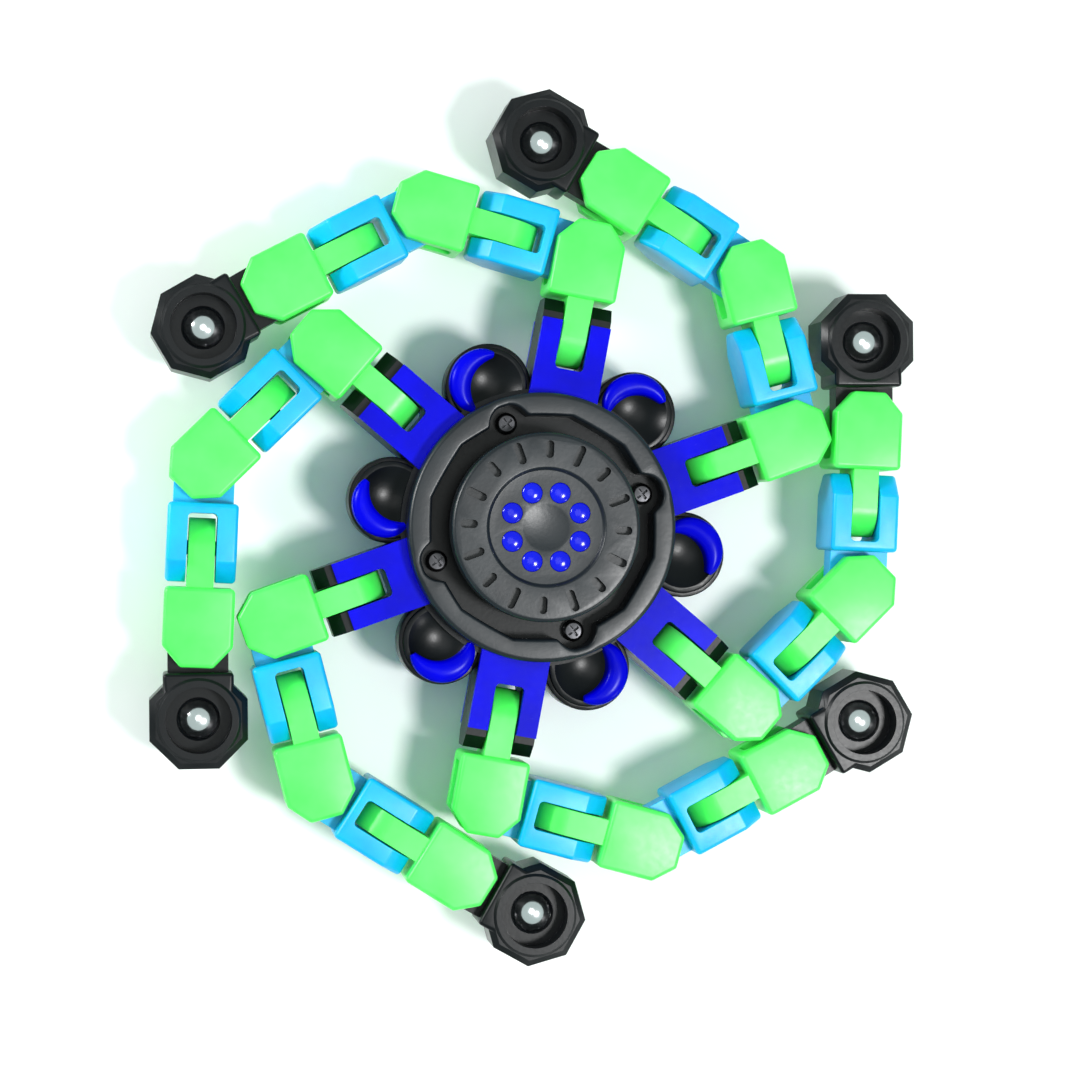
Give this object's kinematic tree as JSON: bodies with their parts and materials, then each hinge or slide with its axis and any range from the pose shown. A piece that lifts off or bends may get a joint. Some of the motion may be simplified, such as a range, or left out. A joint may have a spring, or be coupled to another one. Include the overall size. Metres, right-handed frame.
{
  "type": "fidget spinner",
  "caption": "Bearing hub with finger pads and curled chain arms of snap-together links, each ending in a steel ball weight; spins between finger and thumb.",
  "frame": {"origin": "on the spin axis, in the plane of the lower finger pad's face, which the part lies on", "axes": "+Z along the spin axis, up through the upper finger pad; +X and +Y in the plane of the arms, the first arm's hub fork at 19.5 degrees from +X towards +Y"},
  "size_m": [0.129, 0.1468, 0.028],
  "materials": {
    "black_plastic": "satin black",
    "blue_plastic": "glossy royal blue",
    "green_plastic": "milky translucent green",
    "cyan_plastic": "translucent sky blue",
    "steel": "polished steel",
    "bearing_steel": "ground steel"
  },
  "bodies": {
    "pads": {"cap_upper": "black_plastic", "cap_lower": "black_plastic", "cap_dots_upper": "blue_plastic", "cap_dots_lower": "blue_plastic", "bearing_inner_race": "bearing_steel"},
    "hub": {"hub_shell_upper": "black_plastic", "hub_shell_lower": "black_plastic", "accent_upper": "blue_plastic", "accent_lower": "blue_plastic", "ring_upper": "black_plastic", "ring_lower": "black_plastic", "hub_screws": "bearing_steel", "bearing_outer_race": "bearing_steel", "bearing_shields": "bearing_steel"},
    "cage": {"bearing_cage": "bearing_steel", "bearing_balls": "steel"},
    "arm1_green1": {"arm1_green1": "green_plastic"},
    "arm1_blue1": {"arm1_blue1": "cyan_plastic"},
    "arm1_green2": {"arm1_green2": "green_plastic"},
    "arm1_blue2": {"arm1_blue2": "cyan_plastic"},
    "arm1_green3": {"arm1_green3": "green_plastic"},
    "arm1_weight": {"arm1_weight": "black_plastic", "arm1_ball": "steel"},
    "arm2_green1": {"arm2_green1": "green_plastic"},
    "arm2_blue1": {"arm2_blue1": "cyan_plastic"},
    "arm2_green2": {"arm2_green2": "green_plastic"},
    "arm2_blue2": {"arm2_blue2": "cyan_plastic"},
    "arm2_green3": {"arm2_green3": "green_plastic"},
    "arm2_weight": {"arm2_weight": "black_plastic", "arm2_ball": "steel"},
    "arm3_green1": {"arm3_green1": "green_plastic"},
    "arm3_blue1": {"arm3_blue1": "cyan_plastic"},
    "arm3_green2": {"arm3_green2": "green_plastic"},
    "arm3_blue2": {"arm3_blue2": "cyan_plastic"},
    "arm3_green3": {"arm3_green3": "green_plastic"},
    "arm3_weight": {"arm3_weight": "black_plastic", "arm3_ball": "steel"},
    "arm4_green1": {"arm4_green1": "green_plastic"},
    "arm4_blue1": {"arm4_blue1": "cyan_plastic"},
    "arm4_green2": {"arm4_green2": "green_plastic"},
    "arm4_blue2": {"arm4_blue2": "cyan_plastic"},
    "arm4_green3": {"arm4_green3": "green_plastic"},
    "arm4_weight": {"arm4_weight": "black_plastic", "arm4_ball": "steel"},
    "arm5_green1": {"arm5_green1": "green_plastic"},
    "arm5_blue1": {"arm5_blue1": "cyan_plastic"},
    "arm5_green2": {"arm5_green2": "green_plastic"},
    "arm5_blue2": {"arm5_blue2": "cyan_plastic"},
    "arm5_green3": {"arm5_green3": "green_plastic"},
    "arm5_weight": {"arm5_weight": "black_plastic", "arm5_ball": "steel"},
    "arm6_green1": {"arm6_green1": "green_plastic"},
    "arm6_blue1": {"arm6_blue1": "cyan_plastic"},
    "arm6_green2": {"arm6_green2": "green_plastic"},
    "arm6_blue2": {"arm6_blue2": "cyan_plastic"},
    "arm6_green3": {"arm6_green3": "green_plastic"},
    "arm6_weight": {"arm6_weight": "black_plastic", "arm6_ball": "steel"}
  },
  "joints": [
    {"name": "hub_spin", "type": "hinge", "parent": "pads", "child": "hub", "pos_m": [0, 0, 0.014], "axis": [0, 0, 1], "continuous": true},
    {"name": "cage_orbit", "type": "hinge", "parent": "pads", "child": "cage", "pos_m": [0, 0, 0.014], "axis": [0, 0, 1], "continuous": true},
    {"name": "arm1_root_lift", "type": "hinge", "parent": "hub", "child": "arm1_green1", "pos_m": [0.03064, 0.01085, 0.014], "axis": [0.3338, -0.9426, 0], "range_deg": [-3, 3]},
    {"name": "arm1_root_swing", "type": "hinge", "parent": "arm1_green1", "child": "arm1_blue1", "pos_m": [0.04383, 0.01552, 0.014], "axis": [0, 0, -1], "range_deg": [0, 174]},
    {"name": "arm1_mid_lift", "type": "hinge", "parent": "arm1_blue1", "child": "arm1_green2", "pos_m": [0.04033, 0.02908, 0.014], "axis": [0.9681, 0.2504, 0], "range_deg": [-90, 90]},
    {"name": "arm1_mid_swing", "type": "hinge", "parent": "arm1_green2", "child": "arm1_blue2", "pos_m": [0.03682, 0.04263, 0.014], "axis": [0, 0, 1], "range_deg": [-130, 0]},
    {"name": "arm1_tip_lift", "type": "hinge", "parent": "arm1_blue2", "child": "arm1_green3", "pos_m": [0.02501, 0.05015, 0.014], "axis": [-0.5373, -0.8434, 0], "range_deg": [-90, 90]},
    {"name": "arm1_tip_swing", "type": "hinge", "parent": "arm1_green3", "child": "arm1_weight", "pos_m": [0.01321, 0.05767, 0.014], "axis": [0, 0, 1], "range_deg": [-90, 0]},
    {"name": "arm2_root_lift", "type": "hinge", "parent": "hub", "child": "arm2_green1", "pos_m": [0.00592, 0.03196, 0.014], "axis": [0.9833, -0.1822, 0], "range_deg": [-3, 3]},
    {"name": "arm2_root_swing", "type": "hinge", "parent": "arm2_green1", "child": "arm2_blue1", "pos_m": [0.00847, 0.04572, 0.014], "axis": [0, 0, -1], "range_deg": [0, 174]},
    {"name": "arm2_mid_lift", "type": "hinge", "parent": "arm2_blue1", "child": "arm2_green2", "pos_m": [-0.00502, 0.04946, 0.014], "axis": [0.2672, 0.9636, 0], "range_deg": [-90, 90]},
    {"name": "arm2_mid_swing", "type": "hinge", "parent": "arm2_green2", "child": "arm2_blue2", "pos_m": [-0.01851, 0.0532, 0.014], "axis": [0, 0, 1], "range_deg": [-130, 0]},
    {"name": "arm2_tip_lift", "type": "hinge", "parent": "arm2_blue2", "child": "arm2_green3", "pos_m": [-0.03093, 0.04674, 0.014], "axis": [0.4617, -0.887, 0], "range_deg": [-90, 90]},
    {"name": "arm2_tip_swing", "type": "hinge", "parent": "arm2_green3", "child": "arm2_weight", "pos_m": [-0.04334, 0.04027, 0.014], "axis": [0, 0, 1], "range_deg": [-90, 0]},
    {"name": "arm3_root_lift", "type": "hinge", "parent": "hub", "child": "arm3_green1", "pos_m": [-0.02471, 0.02111, 0.014], "axis": [0.6494, 0.7604, 0], "range_deg": [-3, 3]},
    {"name": "arm3_root_swing", "type": "hinge", "parent": "arm3_green1", "child": "arm3_blue1", "pos_m": [-0.03536, 0.0302, 0.014], "axis": [0, 0, -1], "range_deg": [0, 174]},
    {"name": "arm3_mid_lift", "type": "hinge", "parent": "arm3_blue1", "child": "arm3_green2", "pos_m": [-0.04534, 0.02039, 0.014], "axis": [-0.7009, 0.7133, 0], "range_deg": [-90, 90]},
    {"name": "arm3_mid_swing", "type": "hinge", "parent": "arm3_green2", "child": "arm3_blue2", "pos_m": [-0.05533, 0.01057, 0.014], "axis": [0, 0, 1], "range_deg": [-130, 0]},
    {"name": "arm3_tip_lift", "type": "hinge", "parent": "arm3_blue2", "child": "arm3_green3", "pos_m": [-0.05594, -0.00341, 0.014], "axis": [0.999, -0.0436, 0], "range_deg": [-90, 90]},
    {"name": "arm3_tip_swing", "type": "hinge", "parent": "arm3_green3", "child": "arm3_weight", "pos_m": [-0.05655, -0.0174, 0.014], "axis": [0, 0, 1], "range_deg": [-90, 0]},
    {"name": "arm4_root_lift", "type": "hinge", "parent": "hub", "child": "arm4_green1", "pos_m": [-0.03064, -0.01085, 0.014], "axis": [-0.3338, 0.9426, 0], "range_deg": [-3, 3]},
    {"name": "arm4_root_swing", "type": "hinge", "parent": "arm4_green1", "child": "arm4_blue1", "pos_m": [-0.04383, -0.01552, 0.014], "axis": [0, 0, -1], "range_deg": [0, 174]},
    {"name": "arm4_mid_lift", "type": "hinge", "parent": "arm4_blue1", "child": "arm4_green2", "pos_m": [-0.04033, -0.02908, 0.014], "axis": [-0.9681, -0.2504, 0], "range_deg": [-90, 90]},
    {"name": "arm4_mid_swing", "type": "hinge", "parent": "arm4_green2", "child": "arm4_blue2", "pos_m": [-0.03682, -0.04263, 0.014], "axis": [0, 0, 1], "range_deg": [-130, 0]},
    {"name": "arm4_tip_lift", "type": "hinge", "parent": "arm4_blue2", "child": "arm4_green3", "pos_m": [-0.02501, -0.05015, 0.014], "axis": [0.5373, 0.8434, 0], "range_deg": [-90, 90]},
    {"name": "arm4_tip_swing", "type": "hinge", "parent": "arm4_green3", "child": "arm4_weight", "pos_m": [-0.01321, -0.05767, 0.014], "axis": [0, 0, 1], "range_deg": [-90, 0]},
    {"name": "arm5_root_lift", "type": "hinge", "parent": "hub", "child": "arm5_green1", "pos_m": [-0.00592, -0.03196, 0.014], "axis": [-0.9833, 0.1822, 0], "range_deg": [-3, 3]},
    {"name": "arm5_root_swing", "type": "hinge", "parent": "arm5_green1", "child": "arm5_blue1", "pos_m": [-0.00847, -0.04572, 0.014], "axis": [0, 0, -1], "range_deg": [0, 174]},
    {"name": "arm5_mid_lift", "type": "hinge", "parent": "arm5_blue1", "child": "arm5_green2", "pos_m": [0.00502, -0.04946, 0.014], "axis": [-0.2672, -0.9636, 0], "range_deg": [-90, 90]},
    {"name": "arm5_mid_swing", "type": "hinge", "parent": "arm5_green2", "child": "arm5_blue2", "pos_m": [0.01851, -0.0532, 0.014], "axis": [0, 0, 1], "range_deg": [-130, 0]},
    {"name": "arm5_tip_lift", "type": "hinge", "parent": "arm5_blue2", "child": "arm5_green3", "pos_m": [0.03093, -0.04674, 0.014], "axis": [-0.4617, 0.887, 0], "range_deg": [-90, 90]},
    {"name": "arm5_tip_swing", "type": "hinge", "parent": "arm5_green3", "child": "arm5_weight", "pos_m": [0.04334, -0.04027, 0.014], "axis": [0, 0, 1], "range_deg": [-90, 0]},
    {"name": "arm6_root_lift", "type": "hinge", "parent": "hub", "child": "arm6_green1", "pos_m": [0.02471, -0.02111, 0.014], "axis": [-0.6494, -0.7604, 0], "range_deg": [-3, 3]},
    {"name": "arm6_root_swing", "type": "hinge", "parent": "arm6_green1", "child": "arm6_blue1", "pos_m": [0.03536, -0.0302, 0.014], "axis": [0, 0, -1], "range_deg": [0, 174]},
    {"name": "arm6_mid_lift", "type": "hinge", "parent": "arm6_blue1", "child": "arm6_green2", "pos_m": [0.04534, -0.02039, 0.014], "axis": [0.7009, -0.7133, 0], "range_deg": [-90, 90]},
    {"name": "arm6_mid_swing", "type": "hinge", "parent": "arm6_green2", "child": "arm6_blue2", "pos_m": [0.05533, -0.01057, 0.014], "axis": [0, 0, 1], "range_deg": [-130, 0]},
    {"name": "arm6_tip_lift", "type": "hinge", "parent": "arm6_blue2", "child": "arm6_green3", "pos_m": [0.05594, 0.00341, 0.014], "axis": [-0.999, 0.0436, 0], "range_deg": [-90, 90]},
    {"name": "arm6_tip_swing", "type": "hinge", "parent": "arm6_green3", "child": "arm6_weight", "pos_m": [0.05655, 0.0174, 0.014], "axis": [0, 0, 1], "range_deg": [-90, 0]}
  ],
  "couplings": [
    {"joint": "cage_orbit", "follows": "hub_spin", "ratio": 0.632},
    {"joint": "arm2_root_swing", "follows": "arm1_root_swing", "ratio": 1},
    {"joint": "arm3_root_swing", "follows": "arm1_root_swing", "ratio": 1},
    {"joint": "arm4_root_swing", "follows": "arm1_root_swing", "ratio": 1},
    {"joint": "arm5_root_swing", "follows": "arm1_root_swing", "ratio": 1},
    {"joint": "arm6_root_swing", "follows": "arm1_root_swing", "ratio": 1}
  ]
}
